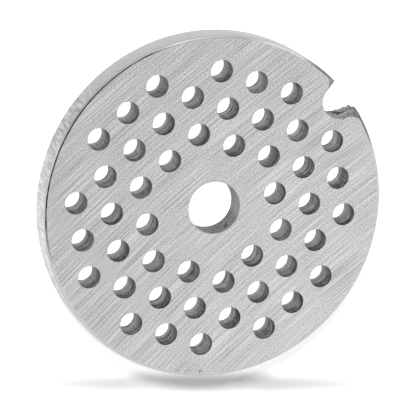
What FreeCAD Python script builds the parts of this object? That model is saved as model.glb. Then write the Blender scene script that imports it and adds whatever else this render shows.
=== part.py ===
import FreeCAD, Part
import math
import os
import Sketcher

# Perforated cutting plate of a small household meat grinder (size 5).
#
# Frame, in millimetres: the origin is the middle of the bore, halfway through
# the plate. +Z points out of the ground front face, where the knife turns, and
# +X points out through the locating notch in the rim.

# Driving sizes
SIZES = [
    ("disc_diameter", 54.0),
    ("thickness", 5.0),
    ("rim_front_break", 0.3),
    ("rim_back_break", 0.2),
    ("bore_diameter", 8.2),
    ("bore_front_chamfer", 0.15),
    ("bore_back_chamfer", 0.6),
    ("hole_diameter", 3.5),
    ("hole_pitch", 6.0),
    ("field_setback", 0.44),
    ("field_shift", 0.12),
    ("field_turn", 2.2),
    ("field_land", 2.2),
    ("notch_width", 5.5),
    ("notch_depth", 4.3),
    ("notch_land", 2.5),
    ("notch_break_angle", 3.0),
    ("left_lip_radius", 2.2),
    ("left_lip_slope", 15.0),
    ("right_lip_radius", 2.5),
    ("right_lip_slope", 28.0),
]

# The holes stand on hexagonal rings round the middle of the field, in six equal
# sectors. A place is left out where less metal than field_land would stay beside
# the bore, the rim or the notch: here the first ring, and the fourth's corners.
SECTORS = 6

# A cut that takes off less than this, in cubic millimetres, has missed the metal
SMALLEST_CUT = 0.01

doc = FreeCAD.newDocument("grinder_plate")


def make_sheet():
    sheet = doc.addObject("Spreadsheet::Sheet", "sizes")
    for row, (alias, value) in enumerate(SIZES, start=1):
        sheet.set(f"A{row}", alias)
        sheet.set(f"B{row}", str(value))
        sheet.setAlias(f"B{row}", alias)
    doc.recompute()
    return sheet


def origin_plane(body, role):
    return next(f for f in body.Origin.OriginFeatures if f.Role == role)


def new_sketch(body, name, role):
    sketch = body.newObject("Sketcher::SketchObject", name)
    sketch.AttachmentSupport = [(origin_plane(body, role), "")]
    sketch.MapMode = "FlatFace"
    return sketch


def vec(x, y):
    return FreeCAD.Vector(x, y, 0)


def bind(sketch, kind, *places, size):
    """Add a driving constraint whose value comes from the sheet."""
    value = float(sketch.evalExpression(size))
    index = sketch.addConstraint(Sketcher.Constraint(kind, *places, value))
    sketch.setExpression(f"Constraints[{index}]", size)
    return index


# End points of a sketch element, and the sketch's own origin and axes
START, END, CENTRE = 1, 2, 3
ORIGIN = (-1, 1)
X_AXIS = -1


def join(sketch, *pairs):
    for first, second in pairs:
        sketch.addConstraint(Sketcher.Constraint("Coincident", *first, *second))


def make_blank(body, sheet):
    """The turned and ground disc: its half section, spun round the bore axis."""
    rim = sheet.disc_diameter / 2
    wall = sheet.bore_diameter / 2
    face = sheet.thickness / 2
    bore_front, bore_back = sheet.bore_front_chamfer, sheet.bore_back_chamfer
    rim_front, rim_back = sheet.rim_front_break, sheet.rim_back_break

    section = new_sketch(body, "blank_section", "XZ_Plane")

    def line(x1, y1, x2, y2):
        return section.addGeometry(Part.LineSegment(vec(x1, y1), vec(x2, y2)))

    bore_wall = line(wall, bore_back - face, wall, face - bore_front)
    bore_front_cone = line(wall, face - bore_front, wall + bore_front, face)
    front_face = line(wall + bore_front, face, rim - rim_front, face)
    rim_front_cone = line(rim - rim_front, face, rim, face - rim_front)
    rim_wall = line(rim, face - rim_front, rim, rim_back - face)
    rim_back_cone = line(rim, rim_back - face, rim - rim_back, -face)
    back_face = line(rim - rim_back, -face, wall + bore_back, -face)
    bore_back_cone = line(wall + bore_back, -face, wall, bore_back - face)

    loop = (bore_wall, bore_front_cone, front_face, rim_front_cone,
            rim_wall, rim_back_cone, back_face, bore_back_cone)
    for edge, following in zip(loop, loop[1:] + loop[:1]):
        join(section, ((edge, END), (following, START)))
    for upright in (bore_wall, rim_wall):
        section.addConstraint(Sketcher.Constraint("Vertical", upright))
    for level in (front_face, back_face):
        section.addConstraint(Sketcher.Constraint("Horizontal", level))

    bind(section, "DistanceX", *ORIGIN, bore_wall, START, size="sizes.bore_diameter / 2")
    bind(section, "DistanceX", *ORIGIN, rim_wall, START, size="sizes.disc_diameter / 2")
    bind(section, "DistanceY", *ORIGIN, front_face, START, size="sizes.thickness / 2")
    bind(section, "DistanceY", back_face, START, *ORIGIN, size="sizes.thickness / 2")

    # Every edge is broken at 45 degrees, so each cone is as high as it is wide
    for cone, left, right, size in ((bore_front_cone, START, END, "sizes.bore_front_chamfer"),
                                    (rim_front_cone, START, END, "sizes.rim_front_break"),
                                    (rim_back_cone, END, START, "sizes.rim_back_break"),
                                    (bore_back_cone, END, START, "sizes.bore_back_chamfer")):
        bind(section, "DistanceX", cone, left, cone, right, size=size)
    for cone, low, high, size in ((bore_front_cone, START, END, "sizes.bore_front_chamfer"),
                                  (rim_front_cone, END, START, "sizes.rim_front_break"),
                                  (rim_back_cone, END, START, "sizes.rim_back_break"),
                                  (bore_back_cone, START, END, "sizes.bore_back_chamfer")):
        bind(section, "DistanceY", cone, low, cone, high, size=size)

    blank = body.newObject("PartDesign::Revolution", "blank")
    blank.Profile = section
    blank.ReferenceAxis = (section, ["V_Axis"])
    blank.Angle = 360.0
    return blank


def draw_notch(sketch, sheet):
    """A slot open at the rim, with a half-round end towards the bore."""
    half = sheet.notch_width / 2
    inner = sheet.disc_diameter / 2 - sheet.notch_depth + half
    outer = sheet.disc_diameter / 2 + half

    end = sketch.addGeometry(Part.ArcOfCircle(
        Part.Circle(vec(inner, 0), FreeCAD.Vector(0, 0, 1), half), math.pi / 2, 3 * math.pi / 2))
    left = sketch.addGeometry(Part.LineSegment(vec(outer, half), vec(inner, half)))
    right = sketch.addGeometry(Part.LineSegment(vec(inner, -half), vec(outer, -half)))
    mouth = sketch.addGeometry(Part.LineSegment(vec(outer, -half), vec(outer, half)))

    sketch.addConstraint(Sketcher.Constraint("Tangent", left, END, end, START))
    sketch.addConstraint(Sketcher.Constraint("Tangent", end, END, right, START))
    join(sketch, ((right, END), (mouth, START)), ((mouth, END), (left, START)))
    sketch.addConstraint(Sketcher.Constraint("PointOnObject", end, CENTRE, X_AXIS))
    sketch.addConstraint(Sketcher.Constraint("Horizontal", left))
    sketch.addConstraint(Sketcher.Constraint("Horizontal", right))
    sketch.addConstraint(Sketcher.Constraint("Vertical", mouth))
    bind(sketch, "Radius", end, size="sizes.notch_width / 2")
    bind(sketch, "DistanceX", *ORIGIN, end, CENTRE,
         size="sizes.disc_diameter / 2 - sizes.notch_depth + sizes.notch_width / 2")
    bind(sketch, "DistanceX", *ORIGIN, mouth, START,
         size="sizes.disc_diameter / 2 + sizes.notch_width / 2")


def make_notch(body, sheet):
    """The punched notch: straight at the front, and torn wider towards the back."""
    outline = new_sketch(body, "notch_outline", "XY_Plane")
    draw_notch(outline, sheet)
    notch = body.newObject("PartDesign::Pocket", "notch")
    notch.Profile = outline
    notch.Type = "ThroughAll"
    notch.Midplane = True

    torn_outline = new_sketch(body, "torn_outline", "XY_Plane")
    torn_outline.setExpression("AttachmentOffset.Base.z", "sizes.thickness / 2 - sizes.notch_land")
    draw_notch(torn_outline, sheet)
    torn = body.newObject("PartDesign::Pocket", "torn_zone")
    torn.Profile = torn_outline
    torn.Type = "Length"
    torn.setExpression("Length", "sizes.thickness - sizes.notch_land")
    torn.setExpression("TaperAngle", "sizes.notch_break_angle * 1 deg")
    return notch, torn


def make_lip(body, sheet, name, side):
    """The drawn-in front corner beside the notch: a cone round an upright axis,
    touching the rim and the notch's side. side is 1 to the left of the notch,
    seen from its mouth towards the bore, and -1 to the right."""
    radius = f"sizes.{name}_radius"
    across = f"(sizes.notch_width / 2 + {radius})"
    along = f"sqrt((sizes.disc_diameter / 2 - {radius}) ^ 2 - {across} ^ 2)"

    section = new_sketch(body, f"{name}_section", "YZ_Plane")
    section.setExpression("AttachmentOffset.Base.x", f"{side} * {across}")
    section.setExpression("AttachmentOffset.Base.y", "sizes.thickness / 2")
    section.setExpression("AttachmentOffset.Base.z", along)

    start = getattr(sheet, f"{name}_radius")
    end = start + sheet.notch_width
    fall = sheet.notch_width * math.tan(math.radians(getattr(sheet, f"{name}_slope")))
    slope = section.addGeometry(Part.LineSegment(vec(-side * start, 0), vec(-side * end, -fall)))
    wall = section.addGeometry(Part.LineSegment(vec(-side * end, -fall), vec(-side * end, 0)))
    top = section.addGeometry(Part.LineSegment(vec(-side * end, 0), vec(-side * start, 0)))
    join(section, ((slope, END), (wall, START)), ((wall, END), (top, START)), ((top, END), (slope, START)))
    section.addConstraint(Sketcher.Constraint("Vertical", wall))
    section.addConstraint(Sketcher.Constraint("PointOnObject", top, START, X_AXIS))
    section.addConstraint(Sketcher.Constraint("PointOnObject", top, END, X_AXIS))
    near, far = ((slope, START), ORIGIN), ((wall, END), (slope, START))
    if side < 0:
        near, far = (ORIGIN, (slope, START)), ((slope, START), (wall, END))
    bind(section, "DistanceX", *near[0], *near[1], size=radius)
    bind(section, "DistanceX", *far[0], *far[1], size="sizes.notch_width")
    bind(section, "DistanceY", slope, END, slope, START,
         size=f"sizes.notch_width * tan(sizes.{name}_slope * 1 deg)")

    lip = body.newObject("PartDesign::Groove", name)
    lip.Profile = section
    lip.ReferenceAxis = (section, ["V_Axis"])
    lip.Reversed = side < 0
    lip.setExpression("Angle", f"90 deg + atan({across} / {along})")
    return lip


def field_places(sheet):
    """The ring and step of each hole in one sector. A ring's corner, its step 0,
    stands in line with the notch, so the notch's end limits it, not the rim."""
    margin = sheet.field_land + sheet.hole_diameter / 2
    nearest = sheet.bore_diameter / 2 + margin
    farthest = sheet.disc_diameter / 2 - margin
    rings = int(farthest / (sheet.hole_pitch * math.sin(math.pi / 3)))
    places = []
    for ring in range(1, rings + 1):
        for step in range(ring):
            limit = farthest if step else farthest - sheet.notch_depth
            reach = sheet.hole_pitch * math.hypot(ring - step / 2, step * math.sin(math.pi / 3))
            if nearest <= reach <= limit:
                places.append((ring, step))
    return places


def make_holes(body, sheet):
    """One sixth of the hexagonal field, drilled through and repeated round it."""
    drill = new_sketch(body, "hole_sector", "XY_Plane")
    drill.setExpression("AttachmentOffset.Base.x", "-sizes.field_setback")
    drill.setExpression("AttachmentOffset.Base.y", "sizes.field_shift")
    drill.setExpression("AttachmentOffset.Rotation.Angle", "sizes.field_turn * 1 deg")
    first = None
    for ring, step in field_places(sheet):
        along = ring - step / 2
        x, y = sheet.hole_pitch * along, sheet.hole_pitch * step * math.sin(math.pi / 3)
        hole = drill.addGeometry(Part.Circle(vec(x, y), FreeCAD.Vector(0, 0, 1), sheet.hole_diameter / 2))
        bind(drill, "DistanceX", *ORIGIN, hole, CENTRE, size=f"sizes.hole_pitch * {along}")
        if step:
            bind(drill, "DistanceY", *ORIGIN, hole, CENTRE,
                 size=f"sizes.hole_pitch * {step} * sin(60 deg)")
        else:
            drill.addConstraint(Sketcher.Constraint("PointOnObject", hole, CENTRE, X_AXIS))
        if first is None:
            first = hole
            bind(drill, "Diameter", hole, size="sizes.hole_diameter")
        else:
            drill.addConstraint(Sketcher.Constraint("Equal", first, hole))

    sector = body.newObject("PartDesign::Pocket", "sector_holes")
    sector.Profile = drill
    sector.Type = "ThroughAll"
    sector.Midplane = True
    doc.recompute()

    field = body.newObject("PartDesign::PolarPattern", "hole_field")
    field.Originals = [sector]
    field.Axis = (drill, ["N_Axis"])
    field.Angle = 360.0
    field.Occurrences = SECTORS
    return field


def check_state():
    for obj in doc.Objects:
        bad = [word for word in obj.State if word in ("Invalid", "Error")]
        if bad:
            raise RuntimeError(f"{obj.Name} is {bad[0]}")


def check_cut(body, feature, before):
    """A cut that points away from the metal takes nothing off, and says so here."""
    body.Tip = feature
    doc.recompute()
    check_state()
    after = body.Shape.Volume
    if after > before - SMALLEST_CUT:
        raise RuntimeError(f"{feature.Name} cut nothing")
    return after


def make_plate(sheet):
    plate = doc.addObject("PartDesign::Body", "plate")
    plate.Label = "plate"
    blank = make_blank(plate, sheet)
    plate.Tip = blank
    doc.recompute()
    check_state()
    volume = plate.Shape.Volume
    for feature in make_notch(plate, sheet):
        volume = check_cut(plate, feature, volume)
    for name, side in (("left_lip", 1), ("right_lip", -1)):
        volume = check_cut(plate, make_lip(plate, sheet, name, side), volume)
    check_cut(plate, make_holes(plate, sheet), volume)
    return plate


def export(body):
    shape = body.Shape
    if shape.isNull() or not shape.isValid() or len(shape.Solids) != 1:
        raise RuntimeError(f"{body.Label} is not one valid solid")
    shape.exportStep(f"parts/{body.Label}.step")
    print(body.Label, "volume", round(shape.Volume, 2), "mm3, faces", len(shape.Faces))


os.makedirs("parts", exist_ok=True)
export(make_plate(make_sheet()))
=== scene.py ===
import math

import bpy
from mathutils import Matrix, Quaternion, Vector


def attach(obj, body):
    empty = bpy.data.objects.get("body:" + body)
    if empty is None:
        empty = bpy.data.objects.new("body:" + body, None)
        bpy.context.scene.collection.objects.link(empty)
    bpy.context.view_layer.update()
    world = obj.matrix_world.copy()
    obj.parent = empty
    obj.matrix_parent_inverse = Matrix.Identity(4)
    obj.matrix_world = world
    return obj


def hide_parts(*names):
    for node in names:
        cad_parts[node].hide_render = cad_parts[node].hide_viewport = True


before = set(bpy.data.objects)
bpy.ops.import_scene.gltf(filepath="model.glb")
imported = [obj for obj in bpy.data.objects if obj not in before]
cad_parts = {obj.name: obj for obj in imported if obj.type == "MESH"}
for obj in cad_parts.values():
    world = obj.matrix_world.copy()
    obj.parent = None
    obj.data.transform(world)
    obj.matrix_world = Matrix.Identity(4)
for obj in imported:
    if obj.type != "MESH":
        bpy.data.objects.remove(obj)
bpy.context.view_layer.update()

# Perforated plate of a small meat grinder, in metres. The origin is the middle
# of the bore, +Z points out of the ground face and +X out through the notch.
MM = 0.001

# The disc. FACE is half its thickness. The outermost part of the rolled front edge, as
# wide as TURNED_BAND, still has the finish of the turned rim. The STEPS here and below
# are how many sides a round has.
RIM = 27.0 * MM
FACE = 2.5 * MM
RIM_ROLL = 0.42 * MM
RIM_BACK_BREAK = 0.2 * MM
TURNED_BAND = 0.05 * MM
RIM_STEPS = 320

BORE = 4.1 * MM
BORE_FRONT_CHAMFER = 0.03 * MM
BORE_BACK_CHAMFER = 0.6 * MM
BORE_STEPS = 160

# The hole field. A hole's edge is broken over HOLE_BREAK, in two rows that each say how
# high they are and how much wider. Past the face its drill reaches and widens by HOLE_FLARE.
HOLE = 1.75 * MM
HOLE_BREAK = 0.08 * MM
HOLE_BREAK_ROWS = ((0.05 * MM, 0.015 * MM), (0.03 * MM, 0.03 * MM))
HOLE_FLARE = 0.6 * MM
HOLE_STEPS = 56
HOLE_PITCH = 6.0 * MM
FIELD_MIDDLE = Vector((-0.44 * MM, 0.12 * MM, 0))
FIELD_TURN = math.radians(2.2)
FIRST_RING, LAST_RING = 2, 4

# The notch. Its cutter runs out past the rim, and one of its sides spreads on the way.
NOTCH_HALF = 2.75 * MM
NOTCH_MIDDLE = 25.45 * MM
NOTCH_RUN_OUT = 4.0 * MM
NOTCH_SPREAD = 1.0 * MM
NOTCH_STEPS = 96

# Its wall is smooth in front and torn behind. The line between the two climbs towards the
# mouth, steeply as far as its bend and gently from there, and painted shade follows it as
# a dark groove.
TEAR_BEND = 24.4 * MM
TEAR_BEND_DEPTH = 0.45 * MM
STEEP_LEAN, GENTLE_LEAN = 2.9, 0.49
GROOVE_SHADE_BELOW, GROOVE_SHADE_ABOVE = 0.34 * MM, 0.28 * MM

# The torn metal begins this far below the line, and at the notch's end everywhere below a
# depth. It stands out into the notch at the end and lies back towards the mouth.
TEAR_GAP = 0.1 * MM
END_TEAR_DEPTH = 1.2 * MM
END_TEAR_REACH, END_TEAR_SCALE = 24.9 * MM, 0.945
MOUTH_TEARS = ((25.4 * MM, 1.06), (26.1 * MM, 1.12))
TEAR_ROUGHNESS = 0.03 * MM

# Where the notch's cutter is sliced, to have points to tear, in millimetres: upright, this
# far past the notch's middle, and along each part of the line, this far below it.
UPRIGHT_SLICES = tuple(0.1 + 0.2 * step for step in range(8))
STEEP_SLICES = (-0.6, 0, 0.9)
GENTLE_SLICES = (-0.25, 0, 0.2, 0.45, 0.75, 1.05, 1.4, 1.7, 2.05, 2.4)

# Beside the notch the punch drew two corners of the face in. Each falls away outside a
# circle, of radius LEFT_LIP or RIGHT_LIP, that passes a little way into the notch and stays
# a little way inside the rim. Each row of a corner says how much wider and how much lower
# it is than the row before, in millimetres.
LIP_INTO_NOTCH = 0.09 * MM
LIP_INSIDE_RIM = 0.25 * MM
LIP_STEPS = 48
LEFT_LIP, RIGHT_LIP = 2.13 * MM, 2.25 * MM
LEFT_LIP_ROWS = ((0.3, 0.04), (0.4, 0.1), (0.5, 0.17), (0.8, 0.35), (2.0, 1.0))
RIGHT_LIP_ROWS = ((0.2, 0.05), (0.3, 0.13), (0.4, 0.24), (0.6, 0.42), (2.5, 1.9))

# Dents in the face: place, radius and depth in millimetres
DENTS = (((-17.59, -19.48), 0.26, 0.09), ((-19.52, -18.39), 0.16, 0.06))

# How far every cutter reaches past the metal, how far a point may be off a plane and
# still count as on it, and how near two points have to be to become one
REACH = 1.0 * MM
BIT = 0.01 * MM
WELD = 0.001 * MM
SMOOTH_ANGLE = math.radians(32)


def only(piece):
    bpy.ops.object.select_all(action="DESELECT")
    piece.select_set(True)
    bpy.context.view_layer.objects.active = piece


def pick(piece, wanted):
    """Enter edit mode with only the wanted vertices selected."""
    only(piece)
    bpy.ops.object.mode_set(mode="EDIT")
    bpy.ops.mesh.select_mode(type="VERT")
    bpy.ops.mesh.select_all(action="DESELECT")
    bpy.ops.object.mode_set(mode="OBJECT")
    for vertex in piece.data.vertices:
        vertex.select = bool(wanted(vertex.co))
    bpy.ops.object.mode_set(mode="EDIT")


def leave_edit():
    bpy.ops.object.mode_set(mode="OBJECT")


def settle(piece):
    """Put the piece's place and turn into its mesh."""
    only(piece)
    bpy.ops.object.transform_apply(location=True, rotation=True, scale=True)


def apply_modifier(piece, kind, **settings):
    """Add a modifier with these settings and apply it."""
    only(piece)
    modifier = piece.modifiers.new(kind.lower(), kind)
    for name, value in settings.items():
        setattr(modifier, name, value)
    bpy.ops.object.modifier_apply(modifier=modifier.name)


def add_cylinder(name, radius, low, high, steps, axis=(0, 0)):
    bpy.ops.mesh.primitive_cylinder_add(
        vertices=steps, radius=radius, depth=high - low, location=(*axis, (low + high) / 2))
    piece = bpy.context.active_object
    piece.name = name
    settle(piece)
    return piece


def flare(piece, end, rows):
    """Draw one end of a cutter round the Z axis out row by row, each as high and as much wider
    as rows says. end is 1 for the top and -1 for the bottom."""
    tip = max(end * v.co.z for v in piece.data.vertices)
    pick(piece, lambda co: end * co.z > tip - BIT)
    radius = max(math.hypot(v.co.x, v.co.y) for v in piece.data.vertices)
    for rise, widening in rows:
        bpy.ops.mesh.extrude_region_move(TRANSFORM_OT_translate={"value": (0, 0, end * rise)})
        grow = 1 + widening / radius
        bpy.ops.transform.resize(value=(grow, grow, 1), center_override=(0, 0, 0))
        radius += widening
    leave_edit()


def give(piece, *metals):
    piece.data.materials.clear()
    for metal in metals:
        piece.data.materials.append(metal)


def paint(piece, metal, wanted):
    """Give the faces whose centres are wanted another of the piece's metals."""
    slot = piece.data.materials.find(metal.name)
    for face in piece.data.polygons:
        if wanted(face.center):
            face.material_index = slot


def cut(piece, cutter):
    apply_modifier(piece, "BOOLEAN", operation="DIFFERENCE", solver="EXACT",
                   material_mode="TRANSFER", object=cutter)
    bpy.data.objects.remove(cutter)


class Nodes:
    """The nodes of a material or a world, added one at a time and wired as they come."""

    def __init__(self, tree):
        self.tree = tree
        self.tree.nodes.clear()

    def add_node(self, kind, inputs, **settings):
        node = self.tree.nodes.new("ShaderNode" + kind)
        for name, value in settings.items():
            setattr(node, name, value)
        for key, value in inputs.items():
            if isinstance(value, bpy.types.NodeSocket):
                self.tree.links.new(value, node.inputs[key])
            else:
                node.inputs[key].default_value = value
        return node

    def add(self, kind, inputs=None, outlet=0, **settings):
        """Add a node and give back one of its outputs."""
        return self.add_node(kind, inputs or {}, **settings).outputs[outlet]

    def math(self, operation, *values):
        return self.add("Math", dict(enumerate(values)), operation=operation)

    def ramp(self, value, low, high, out_low=0.0, out_high=1.0, **settings):
        return self.add("MapRange", {"Value": value, "From Min": low, "From Max": high,
                                     "To Min": out_low, "To Max": out_high}, **settings)

    def seen(self):
        """1 for rays that show the background: the camera's, and those that metal and glass
        pass on."""
        camera, glossy, through = (self.add("LightPath", outlet=f"Is {ray} Ray")
                                   for ray in ("Camera", "Glossy", "Transmission"))
        return self.math("MAXIMUM", self.math("MAXIMUM", camera, glossy), through)


class Finish(Nodes):
    """A material under construction, with patterns in millimetres of the piece itself."""

    def __init__(self, name):
        self.material = bpy.data.materials.new(name)
        self.material.use_nodes = True
        super().__init__(self.material.node_tree)

    def place(self, shift=(0, 0, 0), turn=0.0):
        """Where a point of the piece is, in millimetres."""
        point = self.add("TexCoord", outlet="Object")
        return self.add("Mapping", {"Vector": point, "Scale": (1 / MM,) * 3,
                                    "Rotation": (0, 0, turn), "Location": shift})

    def split(self, vector, axes):
        """The vector's share along each of these axes."""
        return [self.add("SeparateXYZ", {0: vector}, outlet=axis) for axis in axes]

    def radius(self, x, y):
        squares = (self.math("MULTIPLY", share, share) for share in (x, y))
        return self.math("SQRT", self.math("ADD", *squares))

    def toward(self, angle, degrees, low, high, out_low=0.0, out_high=1.0):
        """A ramp over the cosine of how far the angle is from this many degrees."""
        off = self.math("SUBTRACT", angle, math.radians(degrees))
        return self.ramp(self.math("COSINE", off), low, high, out_low, out_high)

    def stretch(self, vector, *scale):
        return self.add("VectorMath", {0: vector, 1: scale}, operation="MULTIPLY")

    def noise(self, vector, detail=2.0, roughness=0.5, distortion=0.0):
        return self.add("TexNoise", {"Vector": vector, "Scale": 1.0, "Detail": detail,
                                     "Roughness": roughness, "Distortion": distortion}, outlet="Fac")

    def layers(self, *weighted):
        """The sum of these layers, each given as a value and its weight."""
        total = 0.0
        for layer, weight in weighted:
            total = self.math("MULTIPLY_ADD", layer, weight, total)
        return total

    def blend(self, share, dark, light):
        """A mix of two colours, which are inputs 6 and 7 of the node, as its output 2."""
        return self.add("Mix", {0: share, 6: dark, 7: light}, outlet=2, data_type="RGBA")

    def metal(self, colour, roughness, height=None, depth=0.0, edge=1.0):
        """The finished metal. edge is how much of its shine is left where it is seen along it."""
        inputs = {"Base Color": colour, "Roughness": roughness, "Metallic": 1.0,
                  "Specular Tint": (edge, edge, edge, 1.0)}
        if height is not None:
            inputs["Normal"] = self.add("Bump", {"Height": height, "Strength": 1.0,
                                                 "Distance": depth}, outlet="Normal")
        return self.done(self.add("BsdfPrincipled", inputs))

    def done(self, shader):
        """Show the shader on the surface, and give back the finished material."""
        self.add_node("OutputMaterial", {"Surface": shader})
        return self.material


def grey(level, warmth=0.0):
    """A grey of this linear level. warmth takes a little off the green and more off the blue."""
    return (level, level * (1 - 0.3 * warmth), level * (1 - warmth), 1.0)


def ground_finish(name, centre, turn=0.0):
    """Ground face: fine close scratches on wide arcs round a far centre, in groups with
    smoother patches between them, and a few deeper lines. A painted sheen makes it lighter
    towards -Y, as if more light fell there."""
    finish = Finish(name)
    x, y = finish.split(finish.place(shift=(-centre[0], -centre[1], 0), turn=turn), "XY")
    along = finish.math("MULTIPLY", finish.math("ARCTAN2", x, y), math.hypot(*centre))
    grain = finish.add("CombineXYZ", {"X": finish.radius(x, y), "Y": along})

    def scratches(across, lengthways, **texture):
        return finish.noise(finish.stretch(grain, across, lengthways, 1), **texture)

    def centred(value):
        return finish.math("SUBTRACT", value, 0.5)

    fine = finish.ramp(scratches(7.0, 0.09, detail=0.5, roughness=0.6), 0.38, 0.62)
    medium = scratches(1.9, 0.05, detail=1.0)
    broad = scratches(0.35, 0.05)
    grit = scratches(6.2, 5.6, detail=0.5)
    groups = finish.ramp(scratches(0.5, 0.12), 0.42, 0.58, 0.55, 0.94)
    deep = scratches(6.4, 0.05, detail=0.5)
    dark_line = finish.ramp(deep, 0.32, 0.24)
    light_line = finish.ramp(deep, 0.69, 0.77)
    # painted sheen: the tone rises towards -Y, standing in for light that falls more on that side
    painted_sheen = finish.add("VectorMath", {0: finish.place(), 1: (0.0004, -0.0026, 0)},
                       outlet="Value", operation="DOT_PRODUCT")
    tone = finish.layers((centred(fine), groups), (centred(medium), 0.03), (centred(broad), 0.10),
                         (centred(grit), 2.7), (light_line, 0.17), (dark_line, -0.32), (painted_sheen, 1.0))
    tone = finish.math("ADD", tone, 0.51)
    colour = finish.blend(tone, grey(0.32), grey(0.59))
    roughness = finish.ramp(medium, 0.3, 0.7, 0.28, 0.38)
    return finish.metal(colour, roughness, height=tone, depth=0.004 * MM)


def drilled_finish():
    """Drilled hole wall: dark, partly as painted shade of the narrow hole, with uneven rings
    left by the drill, and painted shade that makes it darker towards the front and lighter
    towards the back.
    """
    finish = Finish("drilled_wall")
    point = finish.place()
    (height,) = finish.split(point, "Z")
    rings = finish.noise(finish.stretch(point, 0.2, 0.2, 1.25), roughness=0.65)
    runs = finish.noise(finish.stretch(point, 2.2, 2.2, 0.3))
    specks = finish.noise(finish.stretch(point, 4.5, 4.5, 5.5), roughness=0.6)
    # painted shade: the dark greys stand partly for the shade in the narrow hole, and the height term
    # darkens the wall towards the front
    tone = finish.layers((rings, 0.46), (specks, 0.42), (runs, 0.12), (height, -0.024))
    colour = finish.blend(finish.ramp(tone, 0.40, 0.60), grey(0.05), grey(0.43))
    roughness = finish.ramp(specks, 0.3, 0.7, 0.36, 0.5)
    return finish.metal(colour, roughness, height=tone, depth=0.05 * MM, edge=0.5)


def bored_finish():
    """Bore wall: smoother than the holes, with fine rings and a few dark specks, dark as
    partly painted shade, and lighter on one side as painted light."""
    finish = Finish("bored_wall")
    point = finish.place()
    x, y = finish.split(point, "XY")
    rings = finish.noise(finish.stretch(point, 0.10, 0.10, 2.6), detail=2.5, roughness=0.6)
    specks = finish.ramp(finish.noise(finish.stretch(point, 1.3, 1.3, 1.6)), 0.38, 0.30)
    grit = finish.noise(finish.stretch(point, 4.0, 4.0, 5.0), roughness=0.6)
    # painted light: one side of the bore wall is made lighter, as if light fell on it
    painted_light_side = finish.toward(finish.math("ARCTAN2", y, x), -32, 0.80, 0.99, 0.0, 0.45)
    tone = finish.layers((rings, 0.5), (grit, 0.5), (specks, -0.3))
    tone = finish.math("ADD", finish.ramp(tone, 0.36, 0.64), painted_light_side)
    colour = finish.blend(tone, grey(0.05), grey(0.25))
    roughness = finish.ramp(rings, 0.3, 0.7, 0.30, 0.42)
    return finish.metal(colour, roughness, height=tone, depth=0.02 * MM, edge=0.5)


def turned_finish():
    """Turned rim: fine lines round it, crossed on one side by slanting marks, and painted
    bright beside them as a reflection of the white floor."""
    finish = Finish("turned_rim")
    point = finish.place()
    x, y, z = finish.split(point, "XYZ")
    angle = finish.math("ARCTAN2", y, x)
    along = finish.math("MULTIPLY", angle, RIM / MM)
    slanted = finish.math("MULTIPLY_ADD", z, -0.03, along)

    def unrolled(way, lengthways, across):
        return finish.add("CombineXYZ", {"X": finish.math("MULTIPLY", way, lengthways),
                                         "Y": finish.math("MULTIPLY", z, across)})

    lines = finish.noise(unrolled(along, 0.1, 3.0))
    marks = finish.noise(unrolled(slanted, 1.9, 0.3), detail=3.0, roughness=0.65)
    marks = finish.blend(finish.toward(angle, 140, 0.70, 0.85), grey(0.5), marks)
    grit = finish.noise(finish.stretch(point, 5.0, 5.0, 5.0), roughness=0.6)
    tone = finish.ramp(finish.layers((lines, 0.4), (grit, 0.6), (marks, 2.6)), 1.62, 1.98)
    plain = finish.blend(tone, grey(0.28), grey(0.50))
    # painted reflection: round 190 degrees the rim is painted bright, for the white floor it mirrors
    wear_and_painted_light = finish.blend(tone, grey(0.57), grey(0.80))
    colour = finish.blend(finish.toward(angle, 190, 0.22, 0.92), plain, wear_and_painted_light)
    return finish.metal(colour, finish.ramp(lines, 0.3, 0.7, 0.28, 0.42), height=tone, depth=0.01 * MM)


def rolled_finish():
    """Rolled front edge of the rim: a dark line of painted shade on the inner side of one
    stretch, painted shade over that stretch to tone down the lamp's highlight, bright next
    to it, and darker beside the notch."""
    finish = Finish("rolled_edge")
    point = finish.place()
    x, y = finish.split(point, "XY")
    angle = finish.math("ARCTAN2", y, x)
    wear_and_painted_light = finish.noise(finish.stretch(point, 0.6, 0.6, 2.0))
    inner = finish.ramp(finish.radius(x, y), 26.84, 26.80)
    # painted shade: a dark line on the inner side of the edge, round 92 to 114 degrees, broken into
    # patches by the wear noise
    line = finish.math("MAXIMUM", finish.toward(angle, 114, 0.69, 0.86),
                       finish.toward(angle, 92, 0.90, 0.955))
    line = finish.math("SUBTRACT", line, finish.ramp(wear_and_painted_light, 0.45, 0.8, 0.0, 0.3))
    line = finish.math("MULTIPLY", line, inner)
    # painted shade: round the top stretch the whole edge is painted darker, which tones down the lamp's
    # highlight there
    outer = finish.blend(finish.toward(angle, 100, 0.82, 0.92), grey(0.40), grey(0.30))
    colour = finish.blend(inner, outer, grey(0.28))
    colour = finish.blend(finish.toward(angle, 76, 0.72, 0.84), grey(0.56), colour)
    colour = finish.blend(line, colour, grey(0.03))
    colour = finish.blend(finish.toward(angle, 0, 0.934, 0.968), colour, grey(0.20, 0.05))
    return finish.metal(colour, finish.ramp(wear_and_painted_light, 0.3, 0.7, 0.48, 0.6))


def punched_finish(name, dark, light):
    """Punched wall of the notch: smeared by the punch, with upright streaks and specks."""
    finish = Finish(name)
    point = finish.place()
    streaks = finish.noise(finish.stretch(point, 3.0, 3.0, 0.7), detail=3.0, roughness=0.6)
    specks = finish.noise(finish.stretch(point, 4.5, 4.5, 4.5))
    tone = finish.layers((streaks, 0.5), (specks, 0.5))
    colour = finish.blend(finish.ramp(tone, 0.38, 0.62), grey(dark), grey(light))
    roughness = finish.ramp(specks, 0.3, 0.7, 0.4, 0.55)
    return finish.metal(colour, roughness, height=tone, depth=0.06 * MM, edge=0.5)


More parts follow.
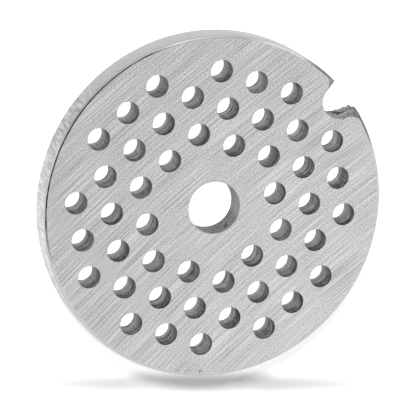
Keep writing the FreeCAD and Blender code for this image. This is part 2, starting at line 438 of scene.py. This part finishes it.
def torn_finish(name, dark, light):
    """Torn zone of the notch, where the slug broke away: coarse and dull."""
    finish = Finish(name)
    point = finish.place(turn=math.radians(25))
    grain = finish.noise(finish.stretch(point, 1.4, 4.0, 2.0), detail=4.0, roughness=0.65, distortion=0.4)
    colour = finish.blend(finish.ramp(grain, 0.35, 0.65), grey(dark, 0.02), grey(light, 0.02))
    roughness = finish.ramp(grain, 0.3, 0.7, 0.5, 0.65)
    return finish.metal(colour, roughness, height=grain, depth=0.15 * MM, edge=0.5)


def drawn_finish():
    """Drawn-in corner beside the notch: not reached by the grinding, a little warmer in tone."""
    finish = Finish("drawn_corner")
    point = finish.place()
    mottle = finish.noise(finish.stretch(point, 2.2, 2.2, 2.2), detail=3.0, roughness=0.6)
    colour = finish.blend(finish.ramp(mottle, 0.35, 0.65), grey(0.21, 0.07), grey(0.39, 0.07))
    roughness = finish.ramp(mottle, 0.3, 0.7, 0.5, 0.62)
    return finish.metal(colour, roughness, height=mottle, depth=0.03 * MM, edge=0.5)


def edge_finish():
    """Broken edges of the holes, bright where the grinding cleaned them."""
    finish = Finish("broken_edge")
    point = finish.place()
    wear_and_painted_light = finish.noise(finish.stretch(point, 1.5, 1.5, 1.5))
    colour = finish.blend(finish.ramp(wear_and_painted_light, 0.3, 0.7), grey(0.52), grey(0.78))
    return finish.metal(colour, finish.ramp(wear_and_painted_light, 0.3, 0.7, 0.4, 0.5))


ground_face = ground_finish("ground_face", (3.8, -270.0))
ground_back = ground_finish("ground_back", (40.0, 190.0), turn=math.radians(20))
drilled_wall = drilled_finish()
bored_wall = bored_finish()
turned_rim = turned_finish()
rolled_edge = rolled_finish()
punched_wall = punched_finish("punched_wall", 0.12, 0.42)
# painted shade: a darker copy of the punched wall, for the shade on the slope of the corner drawn in at
# -Y
punched_lip_painted_shade = punched_finish("punched_lip_painted_shade", 0.06, 0.24)
torn_wall = torn_finish("torn_wall", 0.10, 0.37)
# painted shade: the darkest torn metal, for the shade along the step where the tear begins
painted_groove_shade = torn_finish("painted_groove_shade", 0.04, 0.13)
drawn_corner = drawn_finish()
broken_edge = edge_finish()


def make_blank():
    """The ground disc, its front edge rolled over and its back edge broken."""
    blank = add_cylinder("ground_plate", RIM, -FACE, FACE, RIM_STEPS)
    for side, width, rows in ((1, RIM_ROLL, 4), (-1, RIM_BACK_BREAK, 2)):
        pick(blank, lambda co: side * co.z > FACE - BIT)
        bpy.ops.mesh.bevel(offset=width, segments=rows, affect="EDGES", clamp_overlap=False)
        leave_edit()
    give(blank, ground_face, ground_back, turned_rim, rolled_edge)
    paint(blank, ground_back, lambda at: at.z < -FACE + BIT)
    paint(blank, turned_rim, lambda at: math.hypot(at.x, at.y) > RIM - TURNED_BAND)
    paint(blank, rolled_edge,
          lambda at: RIM - RIM_ROLL < math.hypot(at.x, at.y) < RIM - TURNED_BAND and at.z > 0)
    return blank


def above_tear(at):
    """How far a point of the notch's wall is above the line where the tear begins."""
    lean = GENTLE_LEAN if at.x > TEAR_BEND else STEEP_LEAN
    return (at.z + TEAR_BEND_DEPTH - lean * (at.x - TEAR_BEND)) / math.hypot(1, lean)


def is_torn(at):
    """Whether a point of the notch's cutter lies where the metal is torn."""
    return above_tear(at) < -TEAR_GAP or at.x < TEAR_BEND and at.z < -END_TEAR_DEPTH


def slice_all(at, normal):
    """Slice the whole piece that is being edited along a plane, which leaves it closed."""
    bpy.ops.mesh.select_all(action="SELECT")
    bpy.ops.mesh.bisect(plane_co=at, plane_no=normal)


def make_notch_punch():
    """Cutter for the notch: the punched land in front, the rough tear behind it, and a dark
    band of painted shade between them, as of a groove."""
    punch = add_cylinder("notch_punch", NOTCH_HALF, -FACE - REACH, FACE + REACH, NOTCH_STEPS,
                         (NOTCH_MIDDLE, 0))
    pick(punch, lambda co: co.x > NOTCH_MIDDLE + BIT)
    bpy.ops.transform.translate(value=(NOTCH_RUN_OUT, 0, 0))
    leave_edit()
    pick(punch, lambda co: co.x > NOTCH_MIDDLE + BIT and co.y > 0)
    bpy.ops.transform.translate(value=(0, NOTCH_SPREAD, 0))

    for past_middle in UPRIGHT_SLICES:
        slice_all((NOTCH_MIDDLE + past_middle * MM, 0, 0), (1, 0, 0))
    for lean, drops in ((GENTLE_LEAN, GENTLE_SLICES), (STEEP_LEAN, STEEP_SLICES)):
        for drop in drops:
            slice_all((TEAR_BEND, 0, -TEAR_BEND_DEPTH - drop * MM), (-lean, 0, 1))
    leave_edit()

    pick(punch, lambda co: is_torn(co) and co.x < END_TEAR_REACH)
    bpy.ops.transform.resize(value=(END_TEAR_SCALE, END_TEAR_SCALE, 1),
                             center_override=(NOTCH_MIDDLE, 0, 0))
    leave_edit()
    for start, wider in MOUTH_TEARS:
        pick(punch, lambda co: is_torn(co) and co.x > start)
        bpy.ops.transform.resize(value=(1, wider, 1), center_override=(NOTCH_MIDDLE, 0, 0))
        leave_edit()
    pick(punch, lambda co: is_torn(co) and co.z > -FACE - REACH / 2)
    bpy.ops.transform.vertex_random(offset=TEAR_ROUGHNESS, uniform=0.6, normal=0.4, seed=5)
    leave_edit()

    give(punch, punched_wall, torn_wall, painted_groove_shade)
    paint(punch, torn_wall, lambda at: above_tear(at) < 0)
    # painted shade: a dark band along the line where the tear begins
    paint(punch, painted_groove_shade, lambda at: -GROOVE_SHADE_BELOW < above_tear(at) < GROOVE_SHADE_ABOVE)
    return punch


def make_lip_cutter(name, side, radius, metal, rows):
    """Cutter for a drawn-in corner: an outline spun about an upright axis, from the notch's
    side round to the rim's. side is 1 for the corner at +Y and -1 for the other."""
    across = NOTCH_HALF - LIP_INTO_NOTCH + radius
    along = math.sqrt((RIM - LIP_INSIDE_RIM - radius) ** 2 - across ** 2)
    outline = [(radius, FACE)]
    for widening, fall in rows:
        reach, height = outline[-1]
        outline.append((reach + widening * MM, height - fall * MM))
    outline += [(outline[-1][0], FACE + REACH), (radius, FACE + REACH)]
    points = [Vector((along, side * (across - reach), height)) for reach, height in outline]

    bpy.ops.mesh.primitive_plane_add(size=MM, location=points[0])
    cutter = bpy.context.active_object
    cutter.name = name
    settle(cutter)
    pick(cutter, lambda co: True)
    bpy.ops.mesh.merge(type="CENTER")
    for before, after in zip(points, points[1:]):
        bpy.ops.mesh.extrude_region_move(TRANSFORM_OT_translate={"value": after - before})
    bpy.ops.mesh.select_all(action="SELECT")
    bpy.ops.mesh.edge_face_add()
    sweep = -side * (math.pi / 2 + math.atan2(across, along))
    bpy.ops.mesh.spin(steps=LIP_STEPS, angle=sweep, center=(along, side * across, 0), axis=(0, 0, 1))
    bpy.ops.mesh.select_all(action="SELECT")
    bpy.ops.mesh.remove_doubles(threshold=WELD / 10)
    bpy.ops.mesh.normals_make_consistent(inside=False)
    leave_edit()
    give(cutter, metal)
    return cutter


def make_bore_cutter():
    cutter = add_cylinder("bore_cutter", BORE, -FACE + BORE_BACK_CHAMFER, FACE - BORE_FRONT_CHAMFER,
                          BORE_STEPS)
    for end, chamfer in ((1, BORE_FRONT_CHAMFER), (-1, BORE_BACK_CHAMFER)):
        flare(cutter, end, ((chamfer, chamfer), (REACH, REACH)))
    give(cutter, bored_wall)
    return cutter


def hole_places():
    """Hexagonal rings round the field's middle, without the corners of the outermost one."""
    places = []
    for sector in range(6):
        turn = FIELD_TURN + sector * math.pi / 3
        for ring in range(FIRST_RING, LAST_RING + 1):
            for step in range(1 if ring == LAST_RING else 0, ring):
                at = Vector((ring - step / 2, step * math.sin(math.pi / 3), 0)) * HOLE_PITCH
                places.append(FIELD_MIDDLE + Vector((at.x * math.cos(turn) - at.y * math.sin(turn),
                                                     at.x * math.sin(turn) + at.y * math.cos(turn), 0)))
    return places


def make_drills():
    """One drill with rounded flares at both ends, copied to every hole and joined."""
    drill = add_cylinder("drill", HOLE, -FACE + HOLE_BREAK, FACE - HOLE_BREAK, HOLE_STEPS)
    for end in (1, -1):
        flare(drill, end, (*HOLE_BREAK_ROWS, (HOLE_FLARE, HOLE_FLARE)))
    give(drill, drilled_wall, broken_edge)
    paint(drill, broken_edge, lambda at: abs(at.z) > FACE - HOLE_BREAK + BIT)
    drills = []
    for place in hole_places():
        copy = drill.copy()
        copy.data = drill.data.copy()
        copy.location = place
        bpy.context.scene.collection.objects.link(copy)
        drills.append(copy)
    bpy.data.objects.remove(drill)
    only(drills[0])
    for copy in drills:
        copy.select_set(True)
    bpy.ops.object.join()
    settle(drills[0])
    return drills[0]


def make_dent(at, radius, depth):
    """A ball that leaves a dent of this radius and depth in the face, all in millimetres."""
    ball = (radius ** 2 + depth ** 2) / (2 * depth) * MM
    middle = (at[0] * MM, at[1] * MM, FACE - depth * MM + ball)
    bpy.ops.mesh.primitive_uv_sphere_add(segments=24, ring_count=16, radius=ball, location=middle)
    dent = bpy.context.active_object
    dent.name = "dent"
    settle(dent)
    # painted shade: the dent takes the darker drawn-corner metal, for the shade in its hollow
    give(dent, drawn_corner)
    return dent


def make_plate():
    plate = make_blank()
    cut(plate, make_notch_punch())
    cut(plate, make_lip_cutter("left_lip", 1, LEFT_LIP, drawn_corner, LEFT_LIP_ROWS))
    # the corner at -Y takes the darker metal, painted shade on its slope
    cut(plate, make_lip_cutter("right_lip", -1, RIGHT_LIP, punched_lip_painted_shade, RIGHT_LIP_ROWS))
    cut(plate, make_bore_cutter())
    cut(plate, make_drills())
    for at, radius, depth in DENTS:
        cut(plate, make_dent(at, radius, depth))

    pick(plate, lambda co: True)
    bpy.ops.mesh.remove_doubles(threshold=WELD)
    bpy.ops.mesh.dissolve_degenerate(threshold=WELD)
    leave_edit()
    bpy.ops.object.shade_smooth_by_angle(angle=SMOOTH_ANGLE)
    apply_modifier(plate, "WEIGHTED_NORMAL", keep_sharp=True)
    return plate


plate = make_plate()
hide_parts("plate")
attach(plate, "root")


# Studio: a white floor that keeps the plate's shadow, a plain world and soft lamps. The
# shares are of a full exposure. The floor also gives off a glow, for the rays that show the
# background, and more of it under the plate, where the holes show it.
WORLD_SHARE = 0.25
KEY_SHARE = 0.75
SHEEN_SHARE = 0.022
FLOOR_RADIUS = 3.0
FLOOR_PAPER = 0.8
FLOOR_GLOW = 0.24
FLOOR_GLOW_UNDER_PLATE = 1.0
UNDER_PLATE = RIM - 0.1 * MM

# What the camera sees of the plate's shadow is drawn into a straight streak below it, in part
# with painted shadow. A haze of painted light hides the rest of the shadow. It rises to its
# full strength from the streak's core to its end, which are shares of the streak's half
# sizes, and there is none of it round PLATE_IN_VIEW, the middle of the floor that the plate
# hides. Places and sizes are in millimetres.
HAZE = 0.46
STREAK_MIDDLE = (-18.32, -23.53, 0)
STREAK_TURN = math.radians(42.5)
STREAK_HALF_LENGTH, STREAK_HALF_WIDTH = 25.0, 1.4
STREAK_CORE, STREAK_END = 0.3, 1.9
PLATE_IN_VIEW = (0.3, -1.3, 0)
PLATE_MARGIN = 0.9

# The plate's shadow is darkest a little to one side of the streak's middle, so the haze is
# below nothing in the core, and more so towards the streak's tips: a painted shadow that
# darkens the floor beyond the plate's own shadow.
MIDDLE_PAINTED_SHADOW, TIP_PAINTED_SHADOW = -0.05, -0.28
MIDDLE_SHIFT = 1.5
TIPS_FROM, TIPS_TO = 6.2, 12.0

CAMERA_AIM = Vector((-0.590 * MM, -0.383 * MM, 0))
CAMERA_AZIMUTH = math.radians(100.65)
CAMERA_ELEVATION = math.radians(67.76)
CAMERA_ROLL = math.radians(129.91)
CAMERA_DISTANCE = 0.5583
CAMERA_LENS = 312.7


def direction(azimuth, elevation):
    return Vector((math.cos(elevation) * math.cos(azimuth), math.cos(elevation) * math.sin(azimuth),
                   math.sin(elevation)))


def floor_haze(finish, point):
    """The light that the floor gives off for the camera alone: painted light that hides the
    plate's shadow, and less than none in the streak, a painted shadow.
    """
    off_middle = finish.add("VectorMath", {0: point, 1: STREAK_MIDDLE}, operation="SUBTRACT")
    off_middle = finish.add("VectorRotate", {"Vector": off_middle, "Angle": STREAK_TURN},
                            rotation_type="Z_AXIS")
    off_core = finish.stretch(off_middle, 1 / STREAK_HALF_LENGTH, 1 / STREAK_HALF_WIDTH, 0)
    off_core = finish.add("VectorMath", {0: off_core}, outlet="Value", operation="LENGTH")
    (sideways,) = finish.split(off_middle, "X")
    sideways = finish.math("ABSOLUTE", finish.math("ADD", sideways, MIDDLE_SHIFT))
    # painted shadow: the haze falls below nothing along the streak, most at its tips
    shade = finish.ramp(sideways, TIPS_FROM, TIPS_TO, MIDDLE_PAINTED_SHADOW, TIP_PAINTED_SHADOW)
    haze = finish.ramp(off_core, STREAK_CORE, STREAK_END, shade, HAZE, interpolation_type="SMOOTHSTEP")
    off_plate = finish.add("VectorMath", {0: point, 1: PLATE_IN_VIEW}, outlet="Value",
                           operation="DISTANCE")
    haze = finish.math("MULTIPLY", haze, finish.ramp(off_plate, RIM / MM, RIM / MM + PLATE_MARGIN))
    return finish.math("MULTIPLY", finish.add("LightPath", outlet="Is Camera Ray"), haze)


def make_floor():
    bpy.ops.mesh.primitive_circle_add(vertices=96, radius=FLOOR_RADIUS, fill_type="NGON",
                                      location=(0, 0, -FACE))
    floor = bpy.context.active_object
    floor.name = "floor"
    settle(floor)
    finish = Finish("white_floor")
    point = finish.place()
    radius = finish.radius(*finish.split(point, "XY"))
    under_plate = finish.math("LESS_THAN", radius, UNDER_PLATE / MM)
    background = finish.ramp(under_plate, 0, 1, FLOOR_GLOW, FLOOR_GLOW_UNDER_PLATE)
    glow = finish.math("MULTIPLY_ADD", finish.seen(), background, floor_haze(finish, point))
    paper = finish.add("BsdfDiffuse", {"Color": (FLOOR_PAPER, FLOOR_PAPER, FLOOR_PAPER, 1)})
    lit = finish.add("Emission", {"Strength": glow})
    give(floor, finish.done(finish.add("AddShader", {0: paper, 1: lit})))


def make_world():
    world = bpy.data.worlds.new("studio")
    world.use_nodes = True
    bpy.context.scene.world = world
    nodes = Nodes(world.node_tree)
    strength = nodes.ramp(nodes.seen(), 0, 1, WORLD_SHARE, 1.0)
    background = nodes.add("Background", {"Color": (1, 1, 1, 1), "Strength": strength})
    nodes.add_node("OutputWorld", {"Surface": background})


def make_lamp(name, share, azimuth, elevation, distance, size):
    """A square lamp that gives this share of a full exposure on the floor under it. Its
    angles are in degrees."""
    azimuth, elevation = math.radians(azimuth), math.radians(elevation)
    light = bpy.data.lights.new(name, "AREA")
    light.size = size
    light.energy = share * math.pi ** 2 * distance ** 2 / math.sin(elevation)
    lamp = bpy.data.objects.new(name, light)
    lamp.location = direction(azimuth, elevation) * distance
    lamp.rotation_mode = "QUATERNION"
    lamp.rotation_quaternion = (-lamp.location).to_track_quat("-Z", "Y")
    bpy.context.scene.collection.objects.link(lamp)


def make_camera():
    data = bpy.data.cameras.new("camera")
    data.lens = CAMERA_LENS
    data.sensor_width = 36
    data.clip_start = 0.01
    camera = bpy.data.objects.new("camera", data)
    camera.location = CAMERA_AIM + direction(CAMERA_AZIMUTH, CAMERA_ELEVATION) * CAMERA_DISTANCE
    level = (CAMERA_AIM - camera.location).to_track_quat("-Z", "Y")
    camera.rotation_mode = "QUATERNION"
    camera.rotation_quaternion = level @ Quaternion((0, 0, 1), CAMERA_ROLL)
    bpy.context.scene.collection.objects.link(camera)
    bpy.context.scene.camera = camera


make_floor()
make_world()
make_lamp("key_lamp", KEY_SHARE, azimuth=71, elevation=51, distance=0.6, size=0.16)
make_lamp("sheen_lamp", SHEEN_SHARE, azimuth=282.2, elevation=58.8, distance=0.302, size=0.12)
make_camera()

bpy.context.scene.view_settings.view_transform = "Standard"
